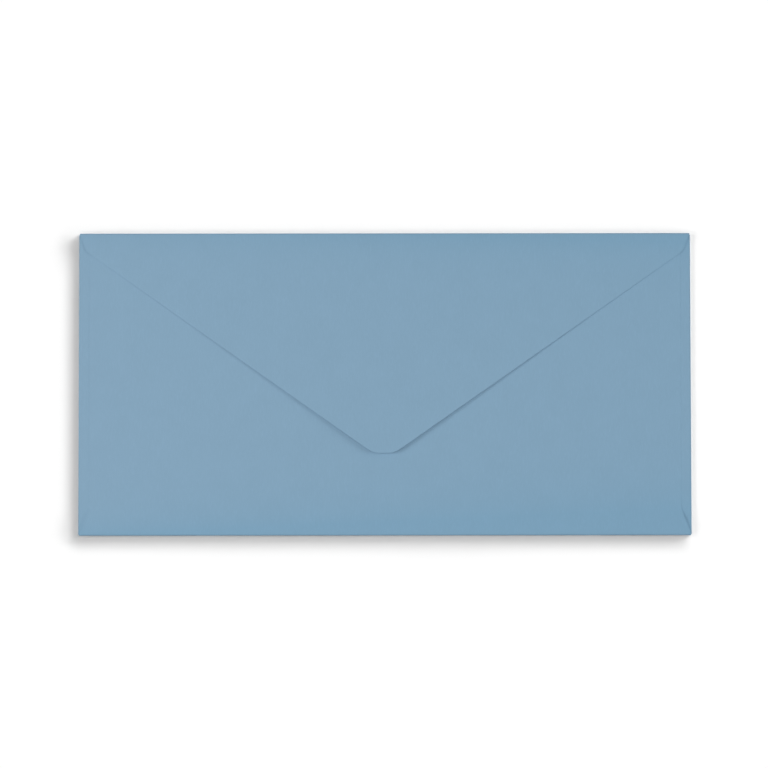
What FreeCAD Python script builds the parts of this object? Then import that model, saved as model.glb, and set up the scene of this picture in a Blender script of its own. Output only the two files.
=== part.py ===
import FreeCAD, Part
import os

import Sketcher

# Long envelope, folded from one cut sheet of paper and lying flat on its front.
#
# The sheet has a front panel with four flaps. The two side flaps fold in first. The
# back panel folds up over them and is glued to them, which leaves a pocket that is
# open at its throat. The closing flap folds down over the throat and isn't stuck, so
# its tip stands a little proud. The paper is one piece of even thickness.
#
# Frame: millimetres, +Z up, X along the long side, Y towards the fold of the closing
# flap. The origin is the middle of the front panel's outer face, which is the face
# that lies on the table.

# Driving dimensions, by the alias of the cell that holds each one.
DRIVING = {
    # The closed envelope, measured over its folds.
    "envelope_width": 220.0,
    "envelope_height": 109.0,
    # The sheet, and the air that a fold leaves between the layers it joins.
    "paper_thickness": 0.16,
    "side_fold_air": 0.12,
    "closing_fold_air": 0.16,
    # The closing flap, down from its fold: short steep shoulders, two straight
    # edges, and a blunt rounded tip.
    "flap_depth": 79.5,
    "flap_fold_inset": 0.25,
    "flap_shoulder_inset": 2.6,
    "flap_shoulder_depth": 6.57,
    "flap_shoulder_radius": 3.5,
    "flap_tip_width": 6.4,
    "flap_tip_radius": 7.5,
    "flap_tip_lift": 1.9,
    # The back panel, up from its fold: short tabs, shoulders that draw in to clear
    # the side folds, and a throat that dips in the middle.
    "back_fold_inset": 0.25,
    "back_tab_height": 0.9,
    "back_tab_radius": 1.0,
    "back_side_inset": 3.3,
    "back_shoulder_height": 9.6,
    "back_shoulder_radius": 2.5,
    "throat_side_drop": 4.6,
    "throat_dip": 12.0,
    # The two side flaps, inside the back panel.
    "side_flap_width": 20.0,
    "side_flap_taper": 9.0,
    "corner_relief": 0.1,
}

# Sizes that follow from the driving dimensions. A level is the height of a layer's
# underside. A fold's radius is that of its outer face.
WIDTH = "sizes.envelope_width"
HEIGHT = "sizes.envelope_height"
PAPER = "sizes.paper_thickness"
SIDE_LEVEL = f"({PAPER} + sizes.side_fold_air)"
BACK_LEVEL = f"({SIDE_LEVEL} + {PAPER})"
FLAP_LEVEL = f"({BACK_LEVEL} + {PAPER} + sizes.closing_fold_air)"
SIDE_RADIUS = f"(({SIDE_LEVEL} + {PAPER}) / 2)"
BACK_RADIUS = f"(({BACK_LEVEL} + {PAPER}) / 2)"
FLAP_RADIUS = f"(({FLAP_LEVEL} + {PAPER}) / 2)"
# Where the flat of the front panel ends and each fold begins.
SIDE_LINE = f"({WIDTH} / 2 - {SIDE_RADIUS})"
BACK_LINE = f"({HEIGHT} / 2 - {BACK_RADIUS})"
FLAP_LINE = f"({HEIGHT} / 2 - {FLAP_RADIUS})"
# Half the length of the fold of the back panel and of the closing flap.
BACK_HALF = f"({WIDTH} / 2 - sizes.back_fold_inset)"
FLAP_HALF = f"({WIDTH} / 2 - sizes.flap_fold_inset)"
# Where a side flap ends, below and above the middle of the envelope.
SIDE_BOTTOM = f"(sizes.corner_relief - {BACK_LINE})"
SIDE_TOP = f"({FLAP_LINE} - sizes.corner_relief)"
# The closing flap's length beyond its fold, and the slope that lifts its tip.
FLAP_LENGTH = f"(sizes.flap_depth - {FLAP_RADIUS})"
FLAP_SLOPE = f"asin(sizes.flap_tip_lift / {FLAP_LENGTH})"


def make_sheet(doc):
    """Write the driving dimensions to a sheet of cells, one row each."""
    sheet = doc.addObject("Spreadsheet::Sheet", "sizes")
    for row, (alias, size) in enumerate(DRIVING.items(), start=1):
        sheet.set(f"A{row}", alias)
        sheet.set(f"B{row}", str(size))
        sheet.setAlias(f"B{row}", alias)
    doc.recompute()
    return sheet


def size_of(doc, expression):
    """Return an expression's size in millimetres."""
    size = doc.getObject("sizes").evalExpression(expression)
    return float(getattr(size, "Value", size))


def origin_plane(body, role):
    """Return one of the body's own origin planes, such as XY_Plane."""
    return next(item for item in body.Origin.OriginFeatures if item.Role == role)


def new_sketch(body, name, role, offset):
    """Add a sketch on an origin plane, moved by expressions along the plane's axes."""
    sketch = body.newObject("Sketcher::SketchObject", name)
    sketch.AttachmentSupport = (origin_plane(body, role), [""])
    sketch.MapMode = "FlatFace"
    for axis, expression in offset.items():
        sketch.setExpression(f"AttachmentOffset.Base.{axis}", expression)
    return sketch


def constrain(sketch, kind, places, expression):
    """Add one dimension to a sketch, and bind it to an expression."""
    size = size_of(sketch.Document, expression)
    index = sketch.addConstraint(Sketcher.Constraint(kind, *places, size))
    sketch.setExpression(f"Constraints[{index}]", expression)


def both_halves(right_half):
    """Return an outline's corners from its right half, mirrored left of the Y axis."""
    left_half = [(f"-{x}", *rest) for x, *rest in reversed(right_half)]
    return right_half + left_half


def add_outline(sketch, corners):
    """Draw a closed outline, and return its lines, each starting at its corner.

    A corner is its X and Y as expressions and, where it is rounded, its radius.
    """
    points = [
        FreeCAD.Vector(size_of(sketch.Document, x), size_of(sketch.Document, y), 0)
        for x, y, *_ in corners
    ]
    lines = [
        sketch.addGeometry(Part.LineSegment(start, end))
        for start, end in zip(points, points[1:] + points[:1])
    ]
    for line, following in zip(lines, lines[1:] + lines[:1]):
        sketch.addConstraint(Sketcher.Constraint("Coincident", line, 2, following, 1))
    for line, (x, y, *radius) in zip(lines, corners):
        corner = (line, 1)
        if radius:
            corner = round_corner(sketch, corner, radius[0])
        constrain(sketch, "DistanceX", (-1, 1, *corner), x)
        constrain(sketch, "DistanceY", (-1, 1, *corner), y)
    return lines


def round_corner(sketch, corner, radius):
    """Round one corner, and return the point that stays at the sharp corner."""
    arc = sketch.GeometryCount
    sketch.fillet(*corner, size_of(sketch.Document, radius), True, True)
    constrain(sketch, "Radius", (arc,), radius)
    return (arc + 1, 1)


def add_panel(body, name, sketch):
    """Pad a panel's outline upwards by the thickness of the sheet."""
    pad = body.newObject("PartDesign::Pad", name)
    pad.Profile = sketch
    pad.setExpression("Length", PAPER)
    body.Document.recompute()
    return pad


def add_fold(body, name, role, line, radius, ends, angle="180 deg", turn_back=False):
    """Turn the edge of the front panel about the axis of a fold.

    The sketch stands across the panel's edge, at the line where the fold begins, with
    its origin on the fold's axis. It holds the section of the edge.
    """
    sketch = new_sketch(body, f"{name}_section", role, {"y": radius, "z": line})
    low, high = ends
    under = f"-{radius}"
    over = f"({PAPER} - {radius})"
    add_outline(sketch, [(low, under), (high, under), (high, over), (low, over)])
    fold = body.newObject("PartDesign::Revolution", name)
    fold.Profile = sketch
    fold.ReferenceAxis = (sketch, ["H_Axis"])
    fold.setExpression("Angle", angle)
    fold.Reversed = turn_back
    body.Document.recompute()
    return fold


def add_front_panel(body):
    """Add the flat of the front panel, the one layer that meets the table."""
    sketch = new_sketch(body, "front_outline", "XY_Plane", {})
    right_half = [(SIDE_LINE, f"-{BACK_LINE}"), (SIDE_LINE, FLAP_LINE)]
    add_outline(sketch, both_halves(right_half))
    add_panel(body, "front_panel", sketch)


def add_back_panel(body):
    """Fold the back panel up over the side flaps."""
    # The XZ plane faces -Y, so its sketch moves towards the bottom edge.
    ends = (f"-{BACK_HALF}", BACK_HALF)
    add_fold(
        body, "back_fold", "XZ_Plane", BACK_LINE, BACK_RADIUS, ends, turn_back=True
    )
    sketch = new_sketch(body, "back_outline", "XY_Plane", {"z": BACK_LEVEL})
    side = f"({WIDTH} / 2 - sizes.back_side_inset)"
    tab = f"(sizes.back_tab_height - {HEIGHT} / 2)"
    shoulder = f"(sizes.back_shoulder_height - {HEIGHT} / 2)"
    throat = f"({HEIGHT} / 2 - sizes.throat_side_drop)"
    right_half = [
        (BACK_HALF, f"-{BACK_LINE}"),
        (BACK_HALF, tab, "sizes.back_tab_radius"),
        (side, shoulder, "sizes.back_shoulder_radius"),
        (side, throat),
    ]
    lines = add_outline(sketch, both_halves(right_half))
    add_throat(sketch, lines[len(right_half) - 1], side, throat)
    add_panel(body, "back_panel", sketch)


def add_throat(sketch, chord, side, throat):
    """Bow the straight top edge of the back panel down to the middle of the throat."""
    half = size_of(sketch.Document, side)
    edge = size_of(sketch.Document, throat)
    dip = size_of(sketch.Document, "sizes.throat_dip")
    arc = sketch.addGeometry(
        Part.Arc(
            FreeCAD.Vector(-half, edge, 0),
            FreeCAD.Vector(0, edge - dip, 0),
            FreeCAD.Vector(half, edge, 0),
        )
    )
    sketch.setConstruction(chord, True)
    sketch.addConstraint(Sketcher.Constraint("Coincident", arc, 1, chord, 2))
    sketch.addConstraint(Sketcher.Constraint("Coincident", arc, 2, chord, 1))
    radius = f"({side}^2 + sizes.throat_dip^2) / (2 * sizes.throat_dip)"
    constrain(sketch, "Radius", (arc,), radius)


def add_closing_flap(body):
    """Fold the closing flap down over the back panel, with its tip a little proud."""
    ends = (f"-{FLAP_HALF}", FLAP_HALF)
    angle = f"180 deg - {FLAP_SLOPE}"
    add_fold(
        body, "closing_fold", "XZ_Plane", f"-{FLAP_LINE}", FLAP_RADIUS, ends, angle
    )
    # The outline lies on the slope of the flap, and starts where its fold ends.
    inner = f"({FLAP_RADIUS} - {PAPER})"
    offset = {
        "y": f"{FLAP_LINE} + {inner} * sin({FLAP_SLOPE})",
        "z": f"{FLAP_RADIUS} + {inner} * cos({FLAP_SLOPE})",
    }
    sketch = new_sketch(body, "flap_outline", "XY_Plane", offset)
    tilt = FreeCAD.Rotation(FreeCAD.Vector(-1, 0, 0), 1)
    sketch.AttachmentOffset = FreeCAD.Placement(FreeCAD.Vector(), tilt)
    sketch.setExpression("AttachmentOffset.Rotation.Angle", FLAP_SLOPE)
    shoulder_x = f"({WIDTH} / 2 - sizes.flap_shoulder_inset)"
    shoulder_y = f"({FLAP_RADIUS} - sizes.flap_shoulder_depth)"
    right_half = [
        ("(sizes.flap_tip_width / 2)", f"-{FLAP_LENGTH}", "sizes.flap_tip_radius"),
        (shoulder_x, shoulder_y, "sizes.flap_shoulder_radius"),
        (FLAP_HALF, "0"),
    ]
    add_outline(sketch, both_halves(right_half))
    add_panel(body, "closing_flap", sketch)


def add_side_flaps(body):
    """Fold the right side flap in under the back panel, and mirror it to the left."""
    ends = (SIDE_BOTTOM, SIDE_TOP)
    fold = add_fold(
        body, "side_fold", "YZ_Plane", SIDE_LINE, SIDE_RADIUS, ends, turn_back=True
    )
    sketch = new_sketch(body, "side_outline", "XY_Plane", {"z": SIDE_LEVEL})
    inner = f"({WIDTH} / 2 - sizes.side_flap_width)"
    corners = [
        (inner, f"({SIDE_BOTTOM} + sizes.side_flap_taper)"),
        (SIDE_LINE, SIDE_BOTTOM),
        (SIDE_LINE, SIDE_TOP),
        (inner, f"({SIDE_TOP} - sizes.side_flap_taper)"),
    ]
    add_outline(sketch, corners)
    flap = add_panel(body, "side_flap", sketch)

    pair = body.newObject("PartDesign::Mirrored", "side_flap_pair")
    pair.Originals = [fold, flap]
    pair.MirrorPlane = (origin_plane(body, "YZ_Plane"), [""])
    body.Tip = pair
    body.Document.recompute()


def check(doc, bodies):
    """Stop if any object failed, or if a sub-part isn't one valid solid."""
    for item in doc.Objects:
        if {"Invalid", "Error"} & set(item.State):
            raise RuntimeError(f"{item.Name} failed: {item.State}")
    for body in bodies:
        shape = body.Shape
        if shape.isNull() or not shape.isValid() or len(shape.Solids) != 1:
            raise RuntimeError(f"{body.Label} isn't one valid solid")


def main():
    """Build the envelope, check it and write its file."""
    doc = FreeCAD.newDocument("paper_envelope")
    make_sheet(doc)
    body = doc.addObject("PartDesign::Body", "envelope")
    body.Label = "envelope"
    add_front_panel(body)
    add_back_panel(body)
    add_closing_flap(body)
    add_side_flaps(body)
    doc.recompute()
    check(doc, [body])
    os.makedirs("parts", exist_ok=True)
    body.Shape.exportStep(f"parts/{body.Label}.step")
    box = body.Shape.BoundBox
    print(f"{body.Label}: {box.XLength:.3f} x {box.YLength:.3f} x {box.ZLength:.3f} mm")
    print(f"volume {body.Shape.Volume:.2f} mm3, faces {len(body.Shape.Faces)}")


main()
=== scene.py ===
import logging
import math
from collections.abc import Sequence
from dataclasses import dataclass, field
from enum import Enum

import bmesh
import bpy
import numpy as np
from mathutils import Euler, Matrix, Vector


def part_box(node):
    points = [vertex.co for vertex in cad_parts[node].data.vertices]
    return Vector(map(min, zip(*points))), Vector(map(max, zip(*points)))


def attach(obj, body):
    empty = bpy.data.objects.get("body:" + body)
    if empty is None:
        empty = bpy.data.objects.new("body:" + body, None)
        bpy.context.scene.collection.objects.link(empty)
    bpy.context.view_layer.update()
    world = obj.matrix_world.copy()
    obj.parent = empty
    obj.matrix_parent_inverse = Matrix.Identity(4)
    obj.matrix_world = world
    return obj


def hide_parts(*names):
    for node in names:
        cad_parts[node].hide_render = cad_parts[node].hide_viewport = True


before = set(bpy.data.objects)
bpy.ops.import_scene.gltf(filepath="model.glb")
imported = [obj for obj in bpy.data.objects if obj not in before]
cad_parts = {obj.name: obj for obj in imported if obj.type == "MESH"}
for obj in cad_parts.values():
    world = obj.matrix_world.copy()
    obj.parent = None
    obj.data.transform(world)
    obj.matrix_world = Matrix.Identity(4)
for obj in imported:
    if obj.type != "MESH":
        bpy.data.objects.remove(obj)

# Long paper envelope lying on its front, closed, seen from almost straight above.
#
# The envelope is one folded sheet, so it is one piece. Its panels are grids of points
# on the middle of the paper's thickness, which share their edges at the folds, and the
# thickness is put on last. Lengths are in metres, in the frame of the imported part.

LOG = logging.getLogger("envelope")
MM = 0.001
NODE = "envelope"
BODY = "root"
PIECE = "envelope_paper"
# The paper's colour on average, linear.
BLUE = (0.240, 0.386, 0.520)


class Side(Enum):
    """The left or right half of the envelope, by the sign of X there."""

    LEFT = -1
    RIGHT = 1


@dataclass(frozen=True)
class Corner:
    """One corner of a half outline.

    Args:
        across: distance from the middle line.
        along: distance from the fold.
        radius: radius of its rounding, or 0 where it is sharp.
    """

    across: float
    along: float
    radius: float = 0.0


@dataclass(frozen=True)
class HalfOutline:
    """The edge of a panel's right half, from its fold outwards.

    Args:
        corners: the corners in order, each further from the fold than the last.
        arc_step: largest turn between two points of a rounding, in radians.
    """

    corners: tuple[Corner, ...]
    arc_step: float = math.radians(4)

    def points(self) -> list[tuple[float, float]]:
        """Return the outline's points with its roundings.

        Returns:
            Pairs of distance across and distance along.
        """
        found = [(self.corners[0].across, self.corners[0].along)]
        for before, corner, after in zip(
            self.corners, self.corners[1:], self.corners[2:]
        ):
            found += self.rounding(before, corner, after)
        found.append((self.corners[-1].across, self.corners[-1].along))
        return found

    def rounding(
        self, before: Corner, corner: Corner, after: Corner
    ) -> list[tuple[float, float]]:
        """Return the points of one corner's arc, or the corner if it is sharp.

        Args:
            before: the corner ahead of it.
            corner: the corner itself.
            after: the corner behind it.

        Returns:
            Pairs of distance across and distance along.
        """
        here = Vector((corner.across, corner.along))
        if not corner.radius:
            return [tuple(here)]
        towards_before = (Vector((before.across, before.along)) - here).normalized()
        towards_after = (Vector((after.across, after.along)) - here).normalized()
        opening = towards_before.angle(towards_after)
        turn = math.pi - opening
        bisector = (towards_before + towards_after).normalized()
        centre = here + bisector * (corner.radius / math.sin(opening / 2))
        steps = max(2, math.ceil(turn / self.arc_step))
        tangent = corner.radius / math.tan(opening / 2)
        start = here + towards_before * tangent - centre
        end = here + towards_after * tangent - centre
        return [
            tuple(
                centre
                + (
                    start * math.sin(turn * (1 - n / steps))
                    + end * math.sin(turn * n / steps)
                )
                / math.sin(turn)
            )
            for n in range(steps + 1)
        ]


@dataclass(frozen=True)
class Spacing:
    """Steps that start fine beside a fold or an edge and grow away from it.

    Args:
        first: the first step.
        growth: how many times longer each step is than the one before.
        largest: the longest step.
    """

    first: float = 0.25 * MM
    growth: float = 1.45
    largest: float = 1.9 * MM

    def from_start(self, length: float) -> np.ndarray:
        """Return places from 0 to length that are fine at the start only.

        Args:
            length: the whole distance.

        Returns:
            The places in order.
        """
        places = [0.0]
        step = self.first
        while places[-1] + step < length:
            places.append(places[-1] + step)
            step = min(step * self.growth, self.largest)
        if len(places) > 2 and length - places[-1] < step / 2:
            places.pop()
        places.append(length)
        return np.array(places)

    def from_both(self, length: float) -> np.ndarray:
        """Return places from 0 to length that are fine at both ends.

        Args:
            length: the whole distance.

        Returns:
            The places in order.
        """
        half = self.from_start(length / 2)
        return np.concatenate([half, length - half[-2::-1]])


class SheetMesh:
    """The middle surface of the sheet, gathered from grids of points."""

    def __init__(self) -> None:
        """Start with no points."""
        self.points: list[np.ndarray] = []
        self.pressed: list[np.ndarray] = []
        self.faces: list[np.ndarray] = []
        self.count = 0

    def add_grid(self, grid: np.ndarray, pressed: np.ndarray | float = 0.0) -> None:
        """Add one grid.

        Args:
            grid: points by row and column.
            pressed: how far it is pressed thin, from 0 to 1.
        """
        rows, columns = grid.shape[:2]
        index = np.arange(rows * columns).reshape(rows, columns) + self.count
        quads = np.stack(
            [index[:-1, :-1], index[:-1, 1:], index[1:, 1:], index[1:, :-1]], axis=-1
        ).reshape(-1, 4)
        self.points.append(grid.reshape(-1, 3))
        self.pressed.append(np.broadcast_to(pressed, (rows, columns)).reshape(-1))
        self.faces.append(quads)
        self.count += rows * columns

    def build(self, name: str, weld: float) -> bpy.types.Mesh:
        """Weld the grids where they meet.

        Args:
            name: the mesh's name.
            weld: points closer than this become one.

        Returns:
            The mesh, with "pressed" as a point attribute.
        """
        mesh = bpy.data.meshes.new(name)
        mesh.from_pydata(
            np.concatenate(self.points).tolist(),
            [],
            np.concatenate(self.faces).tolist(),
        )
        stored = mesh.attributes.new("pressed", "FLOAT", "POINT")
        stored.data.foreach_set("value", np.concatenate(self.pressed).astype(np.float32))
        work = bmesh.new()
        work.from_mesh(mesh)
        bmesh.ops.remove_doubles(work, verts=work.verts, dist=weld)
        bmesh.ops.recalc_face_normals(work, faces=work.faces)
        for face in work.faces:
            face.smooth = True
        work.to_mesh(mesh)
        work.free()
        return mesh


class Shader:
    """The nodes of one material."""

    def __init__(self, name: str) -> None:
        """Start an empty material.

        Args:
            name: the material's name.
        """
        self.material = bpy.data.materials.new(name)
        self.material.use_nodes = True
        self.tree = self.material.node_tree
        self.tree.nodes.clear()

    def add(
        self, kind: str, inputs: dict[str | int, object] | None = None, **settings: object
    ) -> bpy.types.Node:
        """Add a node.

        Args:
            kind: the node's type.
            inputs: its sockets by name or number, each a value or a socket to link.
            settings: its own properties.

        Returns:
            The node.
        """
        node = self.tree.nodes.new(kind)
        for key, setting in settings.items():
            setattr(node, key, setting)
        for key, value in (inputs or {}).items():
            if isinstance(value, bpy.types.NodeSocket):
                self.tree.links.new(value, node.inputs[key])
            else:
                node.inputs[key].default_value = value
        return node

    def noise(
        self, place: bpy.types.NodeSocket, scale: float, detail: float, seed: float = 0.0
    ) -> bpy.types.NodeSocket:
        """Add a noise of a given scale.

        Args:
            place: the coordinates that it reads.
            scale: how many times it repeats in a metre.
            detail: how many finer layers it has.
            seed: which noise of the family it is.

        Returns:
            Its value, about 0.5 on average.
        """
        inputs = {"Vector": place, "W": seed, "Scale": scale, "Detail": detail}
        node = self.add("ShaderNodeTexNoise", inputs, noise_dimensions="4D")
        return node.outputs["Fac"]

    def math(self, operation: str, *values: object) -> bpy.types.NodeSocket:
        """Add a sum on values or sockets.

        Args:
            operation: the name of the sum.
            values: what it works on.

        Returns:
            Its result.
        """
        node = self.add(
            "ShaderNodeMath", dict(enumerate(values)), operation=operation
        )
        return node.outputs[0]

    def between(
        self, value: bpy.types.NodeSocket, span: Sequence[float], to: Sequence[float]
    ) -> bpy.types.NodeSocket:
        """Map a value from one range to another.

        Args:
            value: what is mapped.
            span: its lowest and highest value.
            to: what those two become.

        Returns:
            The result, held inside the second range.
        """
        inputs = {0: value, 1: span[0], 2: span[1], 3: to[0], 4: to[1]}
        return self.add("ShaderNodeMapRange", inputs).outputs[0]

    def mix(
        self, factor: object, first: object, second: object, way: str = "MIX"
    ) -> bpy.types.NodeSocket:
        """Mix two colours.

        Args:
            factor: 0 for the first colour, 1 for the second.
            first: a colour or a socket.
            second: a colour or a socket.
            way: how the second one goes over the first.

        Returns:
            The mixed colour.
        """
        node = self.add(
            "ShaderNodeMix", {0: factor}, data_type="RGBA", blend_type=way
        )
        for socket, value in ((node.inputs[6], first), (node.inputs[7], second)):
            if isinstance(value, bpy.types.NodeSocket):
                self.tree.links.new(value, socket)
            else:
                socket.default_value = value
        return node.outputs[2]

    def finish(self, surface: bpy.types.NodeSocket) -> bpy.types.Material:
        """Link the surface to the material's output.

        Args:
            surface: the shader socket.

        Returns:
            The material.
        """
        self.add("ShaderNodeOutputMaterial", {"Surface": surface})
        return self.material


@dataclass(frozen=True)
class PaperFinish:
    """Uncoated paper, dyed through: cloudy pulp, fine fibres, painted shade at its edges and
    by its folds.

    Args:
        name: the material's name.
        colour: its colour on average, linear.
        cloud: how much the pulp's clouds change the colour, as a share of it.
        fleck: how much the fibres change it.
        edge_shade_share: painted shade along the outer folded edges, as a share of the
            colour (darker if negative).
        fold_shade_colour: what the colour is multiplied by where the painted shade by the
            folds is deepest.
        tooth: depth of the surface's grain.
    """

    name: str
    colour: tuple[float, float, float]
    cloud: float = 0.012
    fleck: float = 0.05
    edge_shade_share: float = -0.3
    fold_shade_colour: tuple[float, float, float, float] = (0.86, 0.955, 0.985, 1.0)
    tooth: float = 0.018 * MM

    cloud_scale: float = 120.0
    fibre_scale: float = 2600.0
    fibre_stretch: float = 6.0
    grain_scale: float = 5200.0
    # The two ways that the fibres lie, in degrees.
    fibre_ways: tuple[float, float] = (24.0, -51.0)
    # The range of a noise that is used, and the range that shows single fibres.
    noise_span: tuple[float, float] = (0.3, 0.7)
    fibre_span: tuple[float, float] = (0.52, 0.8)
    # How strong the fibres are at most in the colour, and how strong in the relief.
    fibre_most: float = 0.55
    fibre_relief: float = 0.6
    # How much of the painted edge shade shows where the clouds are at their lowest.
    edge_shade_least: float = 0.45
    roughness: tuple[float, float] = (0.78, 0.92)
    specular: float = 0.22
    bump_strength: float = 0.55

    def shade(self, share: float) -> tuple[float, float, float, float]:
        """Return the colour with a share added, or taken off if it is negative."""
        return (*(channel * (1 + share) for channel in self.colour), 1.0)

    def fibres(
        self, shader: Shader, place: bpy.types.NodeSocket, angle: float, seed: float
    ) -> bpy.types.NodeSocket:
        """Add fibres that lie one way.

        Args:
            shader: the material's nodes.
            place: the coordinates.
            angle: their direction in the sheet, in radians.
            seed: which fibres they are.

        Returns:
            Their value, about 0.5 on average.
        """
        inputs = {
            "Vector": place,
            "Rotation": (0.0, 0.0, angle),
            "Scale": (1.0, 1.0 / self.fibre_stretch, 1.0),
        }
        laid = shader.add("ShaderNodeMapping", inputs).outputs["Vector"]
        return shader.noise(laid, self.fibre_scale, 2.0, seed)

    def build(self) -> bpy.types.Material:
        """Build the finish.

        Returns:
            The material.
        """
        shader = Shader(self.name)
        place = shader.add("ShaderNodeTexCoord").outputs["Object"]
        clouds = shader.noise(place, self.cloud_scale, 4.0, seed=1.7)
        first_way, second_way = self.fibre_ways
        one_way = self.fibres(shader, place, math.radians(first_way), seed=3.1)
        other_way = self.fibres(shader, place, math.radians(second_way), seed=8.4)
        fibres = shader.math("MAXIMUM", one_way, other_way)
        grain = shader.noise(place, self.grain_scale, 3.0, seed=5.5)

        clouded = shader.mix(
            shader.between(clouds, self.noise_span, (0.0, 1.0)),
            self.shade(-self.cloud),
            self.shade(self.cloud),
        )
        flecked = shader.mix(
            shader.between(fibres, self.fibre_span, (0.0, self.fibre_most)),
            clouded,
            self.shade(self.fleck * 2),
        )
        # Painted shade: the colour is darkened along the outer folded edges.
        edge_shade = shader.add("ShaderNodeAttribute", attribute_name="edge_shade").outputs["Fac"]
        uneven = shader.between(clouds, self.noise_span, (self.edge_shade_least, 1.0))
        edge_shaded = shader.math("MULTIPLY", edge_shade, uneven)
        with_edge_shade = shader.mix(edge_shaded, flecked, self.shade(self.edge_shade_share))
        # Painted shade: darker bands by the top and bottom folds, and darker towards +X.
        fold_shade = shader.add("ShaderNodeAttribute", attribute_name="painted_fold_shade").outputs["Fac"]
        colour = shader.mix(fold_shade, with_edge_shade, self.fold_shade_colour, way="MULTIPLY")

        fibre_height = shader.math("MULTIPLY", fibres, self.fibre_relief)
        relief = shader.math("ADD", fibre_height, grain)
        bump = shader.add(
            "ShaderNodeBump",
            {"Strength": self.bump_strength, "Distance": self.tooth, "Height": relief},
        )
        surface = shader.add(
            "ShaderNodeBsdfPrincipled",
            {
                "Base Color": colour,
                "Roughness": shader.between(grain, self.noise_span, self.roughness),
                "Specular IOR Level": self.specular,
                "Normal": bump.outputs["Normal"],
            },
        )
        return shader.finish(surface.outputs["BSDF"])


@dataclass(frozen=True)
class FloorFinish:
    """Plain matt floor, pale enough to render white in full light, that keeps the shadow.

    Args:
        name: the material's name.
        colour: its colour, linear.
    """

    name: str = "floor_white"
    colour: tuple[float, float, float] = (0.9, 0.9, 0.9)

    def build(self) -> bpy.types.Material:
        """Build the finish.

        Returns:
            The material.
        """
        shader = Shader(self.name)
        matt = shader.add("ShaderNodeBsdfDiffuse", {"Color": (*self.colour, 1.0)})
        return shader.finish(matt.outputs[0])


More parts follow.
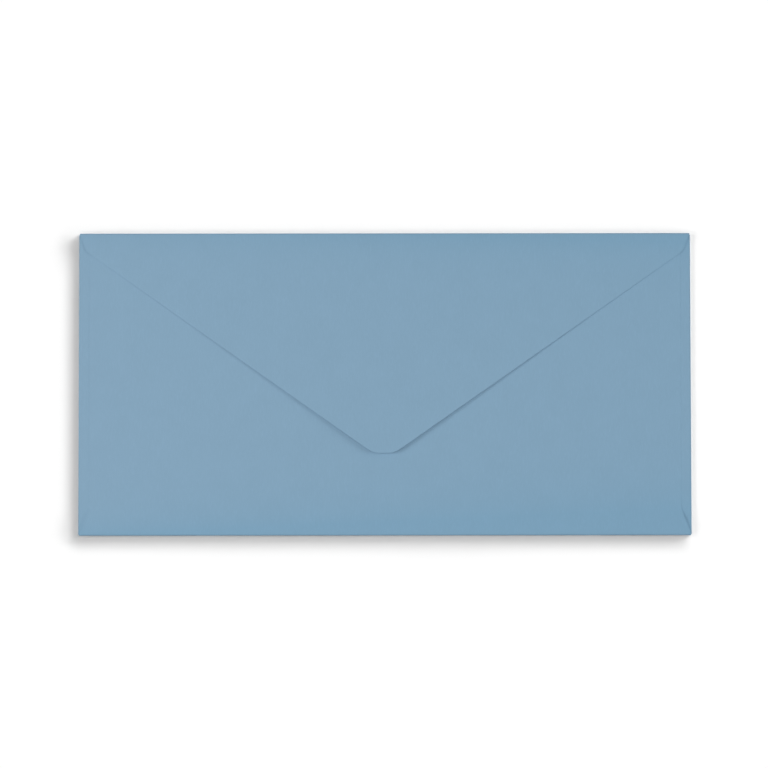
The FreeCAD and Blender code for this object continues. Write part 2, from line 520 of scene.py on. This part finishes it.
@dataclass
class FoldedSheet:
    """The envelope: one sheet with its four flaps folded in.

    A panel's height is that of the paper's middle. Each layer rises a little from its
    folds, as paper does that isn't pressed flat.
    """

    # The closed envelope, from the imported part.
    width: float
    height: float
    # The sheet, and the radius of the middle of the paper at each fold.
    thickness: float = 0.16 * MM
    side_fold: float = 0.14 * MM
    back_fold: float = 0.22 * MM
    flap_fold: float = 0.38 * MM
    # The closing flap.
    flap_depth: float = 79.5 * MM
    flap_fold_inset: float = 0.25 * MM
    flap_shoulder_inset: float = 2.6 * MM
    flap_shoulder_depth: float = 6.57 * MM
    flap_shoulder_radius: float = 3.5 * MM
    flap_tip_half: float = 3.45 * MM
    flap_tip_radius: float = 7.5 * MM
    flap_tip_lift: float = 1.5 * MM
    flap_lift_power: float = 2.2
    flap_twist: float = 0.45
    flap_skew: float = 0.75 * MM
    # The back panel.
    back_fold_inset: float = 0.25 * MM
    back_tab_height: float = 0.9 * MM
    back_tab_radius: float = 1.0 * MM
    back_side_inset: float = 3.6 * MM
    back_shoulder_height: float = 9.6 * MM
    back_shoulder_radius: float = 2.5 * MM
    throat_side_drop: float = 4.6 * MM
    throat_dip: float = 12.0 * MM
    # The side flaps.
    side_flap_width: float = 20.0 * MM
    side_flap_taper: float = 9.0 * MM
    corner_relief: float = 0.1 * MM
    glue: float = 0.02 * MM
    # How far the closing flap settles on to the back panel, and over what distance.
    flap_settle: float = 0.11 * MM
    flap_settle_reach: float = 4.0 * MM
    # How much lower the two ends of its fold are pressed, and how far in.
    flap_corner_press: float = 0.35
    flap_corner_reach: float = 5.0 * MM
    # How far the layers rise from their folds, and over what distance.
    puff: float = 0.45 * MM
    puff_ends: float = 3.0 * MM
    puff_sides: float = 14.0 * MM
    # How far the paper waves, how long its waves are, their slant and where they start.
    wave: float = 0.05 * MM
    wave_length: float = 78.0 * MM
    wave_slant: float = 0.35
    wave_start: float = 0.9
    # A second set of waves: how many to one of the first, and how they slant.
    cross_waves: float = 1.7
    cross_slant: float = 0.3
    # How far the back panel's shoulders stand up where they aren't glued.
    shoulder_lift: float = 0.42 * MM
    shoulder_lift_left: float = 0.05 * MM
    shoulder_reach: float = 4.0 * MM
    # How far the strip of a side flap that shows beside the back panel stands up.
    strip_rise: float = 0.03 * MM
    strip_reach: float = 0.9 * MM
    # The share of its thickness that a pressed edge keeps, and how wide it is.
    pressed_share: float = 0.2
    press_reach: float = 1.8 * MM
    # How fast the press sets in below the top of the back panel's shoulder.
    press_start_rate: float = 5.0
    # How much the closing flap's -X edge is pressed, and where that fades out.
    flap_pressed_most: float = 0.6
    flap_pressed_from: float = -70.0 * MM
    flap_pressed_to: float = -14.0 * MM
    # Painted shade by the top and bottom folds: a near and a wide band, each with its share.
    shade_reach: float = 3.5 * MM
    shade_near: float = 0.55
    shade_wide_reach: float = 11.5 * MM
    shade_wide: float = 0.45
    # The share of it at the -X end, how deep it is at the top and bottom folds, and how
    # much painted shade darkens the whole sheet towards +X.
    shade_left: float = 0.3
    shade_top: float = 1.3
    shade_bottom: float = 3.0
    shade_spread: float = 0.3
    # How dark the painted shade is along each outer folded edge, and how far in from it.
    edge_shade_bottom: float = 1.0
    edge_shade_top: float = 0.4
    edge_shade_right: float = 0.8
    edge_shade_left: float = 0.1
    edge_shade_reach: float = 0.3 * MM
    # The mesh. Faces that meet at more than the sharp angle, in degrees, keep an edge.
    fold_steps: int = 10
    spacing: Spacing = field(default_factory=Spacing)
    weld: float = 0.002 * MM
    sharp_angle: float = 50.0

    def __post_init__(self) -> None:
        """Work out where each fold begins, and the level of each layer."""
        half = self.thickness / 2
        self.side_line = self.width / 2 - self.side_fold - half
        self.back_line = self.height / 2 - self.back_fold - half
        self.flap_line = self.height / 2 - self.flap_fold - half
        self.front_level = half
        self.side_level = half + 2 * self.side_fold
        self.back_level = half + 2 * self.back_fold
        self.flap_level = half + 2 * self.flap_fold
        self.back_half = self.width / 2 - self.back_fold_inset
        self.flap_half = self.width / 2 - self.flap_fold_inset
        self.columns = 2 * self.spacing.from_both(self.width) / self.width - 1

    def ease(self, distance: np.ndarray, reach: float) -> np.ndarray:
        """Return how far a layer has risen at a distance from a fold, from 0 to 1."""
        return 1 - np.exp(-np.maximum(distance, 0) / reach)

    def rise(self, x: np.ndarray, y: np.ndarray) -> np.ndarray:
        """Return how far the layers stand above their folded level.

        Args:
            x: places across the envelope.
            y: places up it.

        Returns:
            The rise at each place.
        """
        sides = self.ease(self.side_line - np.abs(x), self.puff_sides)
        bottom = self.ease(y + self.back_line, self.puff_ends)
        top = self.ease(self.flap_line - y, self.puff_ends)
        turn = 2 * math.pi / self.wave_length
        along = np.sin(turn * (x + self.wave_slant * y) + self.wave_start)
        across = np.sin(turn * self.cross_waves * (self.cross_slant * x - y))
        return sides * bottom * top * (self.puff + self.wave * (along + across))

    def fold(self, half: float, line: float, radius: float, towards: int) -> np.ndarray:
        """Return the grid of a fold at the top or bottom of the front panel.

        Args:
            half: half its length.
            line: where it begins, as a distance from the middle of the envelope.
            radius: the radius of the paper's middle.
            towards: 1 for the top edge and -1 for the bottom edge.

        Returns:
            Points by row and column.
        """
        angle = np.linspace(0, math.pi, self.fold_steps + 1)[:, None]
        x = np.broadcast_to(self.columns * half, (len(angle), len(self.columns)))
        y = towards * (line + radius * np.sin(angle))
        z = self.front_level + radius * (1 - np.cos(angle))
        return np.stack(np.broadcast_arrays(x, y, z), axis=-1)

    def add_front(self, sheet: SheetMesh) -> None:
        """Add the front panel, flat on the table.

        Args:
            sheet: the sheet's mesh.
        """
        rows = self.side_rows()
        y = np.concatenate([[-self.back_line], rows, [self.flap_line]])[:, None]
        share = (y + self.back_line) / (self.back_line + self.flap_line)
        half = self.back_half + share * (self.flap_half - self.back_half)
        inner = self.columns * half
        edge = np.full_like(y, self.side_line)
        x = np.concatenate([-edge, inner, edge], axis=1)
        z = np.full_like(x, self.front_level)
        grid = np.stack(np.broadcast_arrays(x, y, z), axis=-1)
        sheet.add_grid(grid)

    def side_rows(self) -> np.ndarray:
        """Place the rows of points that the side folds have.

        Returns:
            How far up the envelope each row is.
        """
        low = self.corner_relief - self.back_line
        high = self.flap_line - self.corner_relief
        return low + self.spacing.from_both(high - low)

    def add_side_flap(self, sheet: SheetMesh, side: Side) -> None:
        """Add one side flap with its fold.

        Args:
            sheet: the sheet's mesh.
            side: which one.
        """
        rows = self.side_rows()
        angle = np.linspace(0, math.pi, self.fold_steps + 1)[:, None]
        x = self.side_line + self.side_fold * np.sin(angle)
        z = self.front_level + self.side_fold * (1 - np.cos(angle))
        fold = np.stack(np.broadcast_arrays(side.value * x, rows[None, :], z), axis=-1)
        sheet.add_grid(fold)

        reach = self.side_flap_width - self.width / 2 + self.side_line
        inward = self.spacing.from_both(reach)[:, None]
        taper = self.side_flap_taper * inward / reach
        share = (rows - rows[0]) / (rows[-1] - rows[0])
        y = rows[0] + taper + share * (rows[-1] - rows[0] - 2 * taper)
        x = side.value * (self.side_line - inward)
        z = self.side_level + self.rise(x, y) + self.strip(inward, y)
        flap = np.stack(np.broadcast_arrays(x, y, z), axis=-1)
        sheet.add_grid(flap)

    def strip(self, inward: np.ndarray, y: np.ndarray) -> np.ndarray:
        """Return how far the strip beside the back panel stands up.

        Args:
            inward: distances in from the side fold.
            y: places up the envelope.

        Returns:
            The extra height at each.
        """
        edge = self.side_line - self.width / 2 + self.back_side_inset
        beyond = np.clip((edge - inward) / self.strip_reach, 0, 1)
        smooth = beyond * beyond * (3 - 2 * beyond)
        above = y + self.height / 2 - self.back_shoulder_height
        clear = np.clip(above / self.strip_reach, 0, 1)
        return self.strip_rise * smooth * clear * self.ease(inward, self.strip_reach)

    def shoulder_bump(self, x: np.ndarray, y: np.ndarray) -> np.ndarray:
        """Return how far the back panel stands up by its two shoulders.

        Args:
            x: places across the envelope.
            y: places up it.

        Returns:
            The extra height at each.
        """
        across = np.abs(x) - (self.width / 2 - self.back_side_inset / 2)
        middle = (self.back_tab_height + self.back_shoulder_height) / 2
        along = y + self.height / 2 - middle
        near = (across**2 + along**2) / self.shoulder_reach**2
        lift = np.where(x > 0, self.shoulder_lift, self.shoulder_lift_left)
        return lift * np.exp(-near)

    def add_back(self, sheet: SheetMesh) -> None:
        """Add the back panel with its fold.

        Args:
            sheet: the sheet's mesh.
        """
        fold = self.fold(self.back_half, self.back_line, self.back_fold, -1)
        sheet.add_grid(fold)

        start = self.height / 2 - self.back_line
        side = self.width / 2 - self.back_side_inset
        outline = HalfOutline(
            (
                Corner(self.back_half, 0.0),
                Corner(self.back_half, self.back_tab_height - start, self.back_tab_radius),
                Corner(
                    side, self.back_shoulder_height - start, self.back_shoulder_radius
                ),
                Corner(side, 2 * self.back_shoulder_height),
            )
        ).points()
        across, along = np.array(outline).T
        low = self.rows_through(along)
        top = self.height / 2 - self.throat_side_drop + self.back_line - low[-1]
        share = self.spacing.from_both(top)[1:, None] / top
        edge = np.interp(low, along, across)[:, None]
        shoulders_x = self.columns * edge
        shoulders_y = np.broadcast_to(low[:, None] - self.back_line, shoulders_x.shape)

        radius = (side**2 + self.throat_dip**2) / (2 * self.throat_dip)
        panel_x = np.broadcast_to(self.columns * side, (len(share), len(self.columns)))
        dip = np.sqrt(radius**2 - panel_x**2) - math.sqrt(radius**2 - side**2)
        panel_y = low[-1] - self.back_line + share * (top - dip)

        x = np.concatenate([shoulders_x, panel_x])
        y = np.concatenate([shoulders_y, panel_y])
        lift = self.shoulder_bump(x, y) * self.ease(y + self.back_line, self.puff_ends)
        glued = self.glue * self.ease(y + self.back_line, self.puff_ends)
        press = self.press(x, y)
        thinned = press * (1 - self.pressed_share) * self.thickness / 2
        z = self.back_level + self.rise(x, y) + lift + glued - thinned
        sheet.add_grid(np.stack([x, y, z], axis=-1), pressed=press)

    def press(self, x: np.ndarray, y: np.ndarray) -> np.ndarray:
        """Return how much the back panel's two straight side edges are pressed.

        Args:
            x: places across the envelope.
            y: places up it.

        Returns:
            The press at each, from 0 to 1.
        """
        inward = self.width / 2 - self.back_side_inset - np.abs(x)
        above = y + self.height / 2 - self.back_shoulder_height
        start = np.clip(self.press_start_rate * above / self.back_shoulder_height + 1, 0, 1)
        return np.clip(1 - inward / self.press_reach, 0, 1) * start

    def rows_through(self, places: np.ndarray) -> np.ndarray:
        """Return rows that pass through an outline's points and are close together.

        Args:
            places: the outline's distances from the fold, in order.

        Returns:
            The distances of the rows.
        """
        fine = self.spacing.from_start(places[-1])
        apart = np.min(np.abs(fine[:, None] - places[None, :]), axis=1)
        return np.unique(np.concatenate([places, fine[apart > self.spacing.first]]))

    def flap_outline(self) -> HalfOutline:
        """Draw the closing flap's right half, from the end of its fold.

        Returns:
            Its outline.
        """
        start = self.height / 2 - self.flap_line
        tip = self.flap_depth - start
        return HalfOutline(
            (
                Corner(self.flap_half, 0.0),
                Corner(
                    self.width / 2 - self.flap_shoulder_inset,
                    self.flap_shoulder_depth - start,
                    self.flap_shoulder_radius,
                ),
                Corner(self.flap_tip_half, tip, self.flap_tip_radius),
                Corner(0.0, tip),
            )
        )

    def add_flap(self, sheet: SheetMesh) -> None:
        """Add the closing flap with its fold.

        Args:
            sheet: the sheet's mesh.
        """
        fold = self.fold(self.flap_half, self.flap_line, self.flap_fold, 1)
        turned = (fold[..., 2] - self.front_level) / (2 * self.flap_fold)
        fold[..., 2] -= turned * self.corner_drop(fold[..., 0], np.zeros(1))
        sheet.add_grid(fold)

        across, along = np.array(self.flap_outline().points()[:-1]).T
        rows = self.rows_through(along)
        right = np.interp(rows, along, across)[:, None]
        left = right + self.flap_skew * (rows / along[-1])[:, None]
        x = self.columns * np.where(self.columns < 0, left, right)
        down = np.broadcast_to(rows[:, None], x.shape)
        y = self.flap_line - down
        lift = self.flap_tip_lift * (down / along[-1]) ** self.flap_lift_power
        settled = self.flap_settle * self.ease(down, self.flap_settle_reach)
        lift = lift * (1 + self.flap_twist * x / (self.width / 2))
        from_fold = np.clip(down / (2 * self.press_reach), 0, 1)
        press = self.press_flap(x, left) * from_fold
        thinned = press * (1 - self.pressed_share) * self.thickness / 2
        lower = settled + thinned + self.corner_drop(x, down)
        z = self.flap_level + self.rise(x, y) + lift - lower
        sheet.add_grid(np.stack([x, y, z], axis=-1), pressed=press)

    def corner_drop(self, x: np.ndarray, down: np.ndarray) -> np.ndarray:
        """Return how much lower the closing flap lies by the two ends of its fold.

        Args:
            x: places across the flap.
            down: their distances from the end of the fold.

        Returns:
            The drop at each place.
        """
        inward = np.maximum(self.width / 2 - np.abs(x), 0)
        near = np.exp(-(inward + down) / self.flap_corner_reach)
        return 2 * self.flap_fold * self.flap_corner_press * near

    def press_flap(self, x: np.ndarray, edge: np.ndarray) -> np.ndarray:
        """Return how much the closing flap's edge towards -X is pressed.

        Args:
            x: places across the flap.
            edge: how far across its edge is, row by row.

        Returns:
            The press at each place, from 0 to 1.
        """
        reach = self.flap_pressed_to - self.flap_pressed_from
        along = np.clip((self.flap_pressed_to - x) / reach, 0, 1)
        across = np.clip(1 - (edge + x) / self.press_reach, 0, 1)
        return self.flap_pressed_most * across * along

    def add_painted_shade(self, mesh: bpy.types.Mesh) -> None:
        """Store the painted shade by the folds and along the outer edges, as point
        attributes.

        Args:
            mesh: the envelope's mesh.
        """
        places = np.empty(3 * len(mesh.vertices), np.float32)
        mesh.vertices.foreach_get("co", places)
        x, y = places.reshape(-1, 3)[:, :2].T
        # Painted shade: darker bands by the top and bottom folds, deeper towards +X.
        fold = self.height / 2 - np.abs(y)
        along = np.clip(x / self.width + 0.5, 0, 1)
        share = self.shade_left + (1 - self.shade_left) * along
        share = np.where(y < 0, self.shade_bottom, self.shade_top) * share
        near = np.exp(-fold / self.shade_reach)
        wide = np.exp(-fold / self.shade_wide_reach)
        fold_shade = mesh.attributes.new("painted_fold_shade", "FLOAT", "POINT")
        bands = self.shade_near * near + self.shade_wide * wide
        depth = share * bands + self.shade_spread * along
        fold_shade.data.foreach_set("value", depth.astype(np.float32))

        # Painted shade along the four outer folded edges.
        painted_edge_shade = np.zeros_like(x)
        for strength, inward in (
            (self.edge_shade_bottom, self.height / 2 + y),
            (self.edge_shade_top, self.height / 2 - y),
            (self.edge_shade_right, self.width / 2 - x),
            (self.edge_shade_left, self.width / 2 + x),
        ):
            dark = strength * np.exp(-((inward / self.edge_shade_reach) ** 2))
            painted_edge_shade = np.maximum(painted_edge_shade, dark)
        edge_shade = mesh.attributes.new("edge_shade", "FLOAT", "POINT")
        edge_shade.data.foreach_set("value", painted_edge_shade.astype(np.float32))

    def build(self) -> bpy.types.Object:
        """Fold the sheet and give it its thickness.

        Returns:
            The envelope as one piece.
        """
        sheet = SheetMesh()
        self.add_front(sheet)
        for side in Side:
            self.add_side_flap(sheet, side)
        self.add_back(sheet)
        self.add_flap(sheet)
        middle = bpy.data.objects.new("middle", sheet.build("middle", self.weld))
        bpy.context.scene.collection.objects.link(middle)
        thick = middle.modifiers.new("paper", "SOLIDIFY")
        thick.thickness = self.thickness
        thick.offset = 0.0
        thick.use_quality_normals = True
        thick.material_offset_rim = 1
        self.thin_pressed(middle, thick)
        middle.data.materials.append(None)
        middle.data.materials.append(None)

        graph = bpy.context.evaluated_depsgraph_get()
        mesh = bpy.data.meshes.new_from_object(middle.evaluated_get(graph))
        mesh.name = PIECE
        mesh.set_sharp_from_angle(angle=math.radians(self.sharp_angle))
        self.add_painted_shade(mesh)
        bpy.data.objects.remove(middle)
        piece = bpy.data.objects.new(PIECE, mesh)
        bpy.context.scene.collection.objects.link(piece)
        return piece

    def thin_pressed(
        self, middle: bpy.types.Object, thick: bpy.types.SolidifyModifier
    ) -> None:
        """Make the paper thinner where it is pressed.

        Args:
            middle: the middle surface of the sheet.
            thick: the modifier that gives it its thickness.
        """
        pressed = np.empty(len(middle.data.vertices), np.float32)
        middle.data.attributes["pressed"].data.foreach_get("value", pressed)
        group = middle.vertex_groups.new(name="pressed")
        for index in np.flatnonzero(pressed > 0).tolist():
            group.add([index], float(pressed[index]), "REPLACE")
        thick.vertex_group = group.name
        thick.invert_vertex_group = True
        thick.thickness_vertex_group = self.pressed_share

    def dress(
        self, piece: bpy.types.Object, face: PaperFinish, cut_edge: PaperFinish
    ) -> None:
        """Give the paper its finish.

        Args:
            piece: the envelope.
            face: the finish of the paper's two faces.
            cut_edge: the finish of its cut edge.
        """
        piece.data.materials.clear()
        piece.data.materials.append(face.build())
        piece.data.materials.append(cut_edge.build())
        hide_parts(NODE)
        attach(piece, BODY)


@dataclass(frozen=True)
class Lamp:
    """One soft lamp, a flat square panel that faces the envelope.

    Args:
        name: the lamp's name.
        azimuth: where it stands, in degrees from +X towards +Y.
        elevation: its height above the horizon, in degrees.
        distance: how far it is from the envelope.
        size: the length of its side.
        share: the light that it gives a level surface, where 1 is the plain level.
    """

    name: str
    azimuth: float
    elevation: float
    distance: float
    size: float
    share: float

    def build(self, lit: bpy.types.Collection) -> bpy.types.Object:
        """Set up the lamp, at the power that gives its share on a level surface.

        Args:
            lit: the objects that it lights.

        Returns:
            The lamp.
        """
        turn, up = math.radians(self.azimuth), math.radians(self.elevation)
        way = Vector(
            (math.cos(turn) * math.cos(up), math.sin(turn) * math.cos(up), math.sin(up))
        )
        light = bpy.data.lights.new(self.name, "AREA")
        light.shape = "SQUARE"
        light.size = self.size
        light.energy = self.share * (math.pi * self.distance) ** 2 / math.sin(up)
        lamp = bpy.data.objects.new(self.name, light)
        lamp.location = way * self.distance
        lamp.rotation_mode = "QUATERNION"
        lamp.rotation_quaternion = way.to_track_quat("Z", "Y")
        lamp.visible_camera = False
        lamp.light_linking.receiver_collection = lit
        bpy.context.scene.collection.objects.link(lamp)
        return lamp


@dataclass(frozen=True)
class FloorFan:
    """Distant lamps at one height that light the floor only and draw its shadow.

    Args:
        name: the fan's name.
        azimuths: where its lamps stand, in degrees from +X towards +Y.
        elevation: their height above the horizon, in degrees.
        angle: how wide each looks from the floor, in degrees.
        share: the light that they give the floor together, where 1 is the plain level.
    """

    name: str
    azimuths: tuple[float, ...]
    elevation: float
    angle: float
    share: float

    def build(self, lit: bpy.types.Collection) -> None:
        """Set up the lamps.

        Args:
            lit: the objects that they light.
        """
        up = math.radians(self.elevation)
        for number, azimuth in enumerate(self.azimuths):
            turn = math.radians(azimuth)
            across = Vector((math.cos(turn), math.sin(turn), 0)) * math.cos(up)
            way = across + Vector((0, 0, math.sin(up)))
            light = bpy.data.lights.new(f"{self.name}_{number}", "SUN")
            light.angle = math.radians(self.angle)
            light.energy = self.share / len(self.azimuths) * math.pi / math.sin(up)
            lamp = bpy.data.objects.new(light.name, light)
            lamp.rotation_mode = "QUATERNION"
            lamp.rotation_quaternion = way.to_track_quat("Z", "Y")
            lamp.light_linking.receiver_collection = lit
            bpy.context.scene.collection.objects.link(lamp)


@dataclass
class Studio:
    """The table, the lamps and the light of the room."""

    floor_size: float = 12.0
    room_light: float = 0.08
    lamps: tuple[Lamp, ...] = (
        Lamp("overhead", 270.0, 80.0, 1.9, 1.3, 0.52),
        Lamp("key_left", 180.0, 36.0, 1.4, 0.6, 0.26),
        Lamp("fill_right", 0.0, 24.0, 1.8, 0.8, 0.17),
    )

    floor_fans: tuple[FloorFan, ...] = (
        FloorFan("floor_above", (90.0,), 80.0, 30.0, 0.17),
        FloorFan("floor_right", (6.0, 22.0), 4.1, 3.0, 0.13),
        FloorFan("floor_upper_right", (32.0, 50.0), 5.2, 3.5, 0.21),
        FloorFan("floor_top", (65.0, 82.0), 5.5, 3.5, 0.14),
        FloorFan("floor_lower_right", (-26.0, -8.0), 4.8, 3.5, 0.06),
        FloorFan("floor_near_right", (36.0,), 8.0, 5.0, 0.09),
        FloorFan("floor_left", (165.0, 200.0), 12.0, 9.0, 0.18),
        FloorFan("floor_bottom", (245.0, 285.0), 22.0, 14.0, 0.07),
    )

    def add_floor(self, finish: FloorFinish) -> bpy.types.Object:
        """Lay the table top.

        Args:
            finish: its finish.

        Returns:
            The table top.
        """
        mesh = bpy.data.meshes.new("floor")
        half = self.floor_size / 2
        corners = [(-half, -half, 0), (half, -half, 0), (half, half, 0), (-half, half, 0)]
        mesh.from_pydata(corners, [], [(0, 1, 2, 3)])
        mesh.materials.append(finish.build())
        floor = bpy.data.objects.new("floor", mesh)
        bpy.context.scene.collection.objects.link(floor)
        return floor

    def add_room(self) -> None:
        """Give the room its even light, and a white background."""
        world = bpy.data.worlds.new("room")
        world.use_nodes = True
        tree = world.node_tree
        tree.nodes.clear()
        rays = tree.nodes.new("ShaderNodeLightPath")
        light = tree.nodes.new("ShaderNodeBackground")
        white = tree.nodes.new("ShaderNodeBackground")
        choose = tree.nodes.new("ShaderNodeMixShader")
        output = tree.nodes.new("ShaderNodeOutputWorld")
        light.inputs["Strength"].default_value = self.room_light
        white.inputs["Strength"].default_value = 1.0
        for background in (light, white):
            background.inputs["Color"].default_value = (1.0, 1.0, 1.0, 1.0)
        tree.links.new(rays.outputs["Is Camera Ray"], choose.inputs[0])
        tree.links.new(light.outputs[0], choose.inputs[1])
        tree.links.new(white.outputs[0], choose.inputs[2])
        tree.links.new(choose.outputs[0], output.inputs["Surface"])
        bpy.context.scene.world = world

    def lit_by(self, name: str, lit: bpy.types.Object) -> bpy.types.Collection:
        """Put one object in a collection that a set of lamps lights.

        Args:
            name: the collection's name.
            lit: the object.

        Returns:
            The collection.
        """
        group = bpy.data.collections.new(name)
        group.objects.link(lit)
        return group

    def build(self, piece: bpy.types.Object, floor: FloorFinish) -> None:
        """Set up the table, the room and the lamps.

        The envelope and the table have lamps of their own, each set near the plain level.

        Args:
            piece: the envelope.
            floor: the finish of the table top.
        """
        table = self.add_floor(floor)
        self.add_room()
        on_piece = self.lit_by("lit_envelope", piece)
        on_table = self.lit_by("lit_floor", table)
        for lamp in self.lamps:
            lamp.build(on_piece)
        for fan in self.floor_fans:
            fan.build(on_table)


@dataclass
class PhotoCamera:
    """The camera, a long lens high above the envelope.

    The picture is square. Its scale is known from the envelope's width in it, and the
    envelope's middle is a little off the picture's middle.
    """

    picture: int = 768
    envelope_pixels: float = 611.8
    envelope_middle: tuple[float, float] = (385.3, 384.15)
    distance: float = 1.95
    sensor: float = 36.0
    tilt: float = 5.0
    roll: float = -0.06
    furthest: float = 100.0

    def build(self, width: float) -> bpy.types.Object:
        """Set up the camera.

        Args:
            width: the envelope's width.

        Returns:
            The camera.
        """
        pixel = width / self.envelope_pixels
        data = bpy.data.cameras.new("camera")
        data.sensor_width = self.sensor
        data.lens = self.sensor * self.distance / (pixel * self.picture)
        data.clip_end = self.furthest
        camera = bpy.data.objects.new("camera", data)
        tilt = math.radians(self.tilt)
        middle_x, middle_y = self.envelope_middle
        aim = Vector(
            ((self.picture / 2 - middle_x) * pixel, (middle_y - self.picture / 2) * pixel, 0)
        )
        back = Vector((0, -math.sin(tilt), math.cos(tilt)))
        camera.location = aim + back * self.distance
        camera.rotation_euler = Euler((tilt, 0, math.radians(self.roll)), "XYZ")
        bpy.context.scene.collection.objects.link(camera)
        bpy.context.scene.camera = camera
        return camera


def main() -> None:
    """Build the envelope, the studio and the camera."""
    logging.basicConfig(level=logging.INFO, format="%(name)s: %(message)s")
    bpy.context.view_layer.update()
    low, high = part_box(NODE)
    bpy.context.scene.view_settings.view_transform = "Standard"

    face = PaperFinish("blue_paper", BLUE)
    cut_edge = PaperFinish("blue_paper_cut_edge", BLUE, fleck=0.12)
    envelope = FoldedSheet(width=high.x - low.x, height=high.y - low.y)
    piece = envelope.build()
    envelope.dress(piece, face, cut_edge)
    LOG.info("%s: %d faces", piece.name, len(piece.data.polygons))

    Studio().build(piece, FloorFinish())
    PhotoCamera().build(envelope.width)


if __name__ == "__main__":
    main()
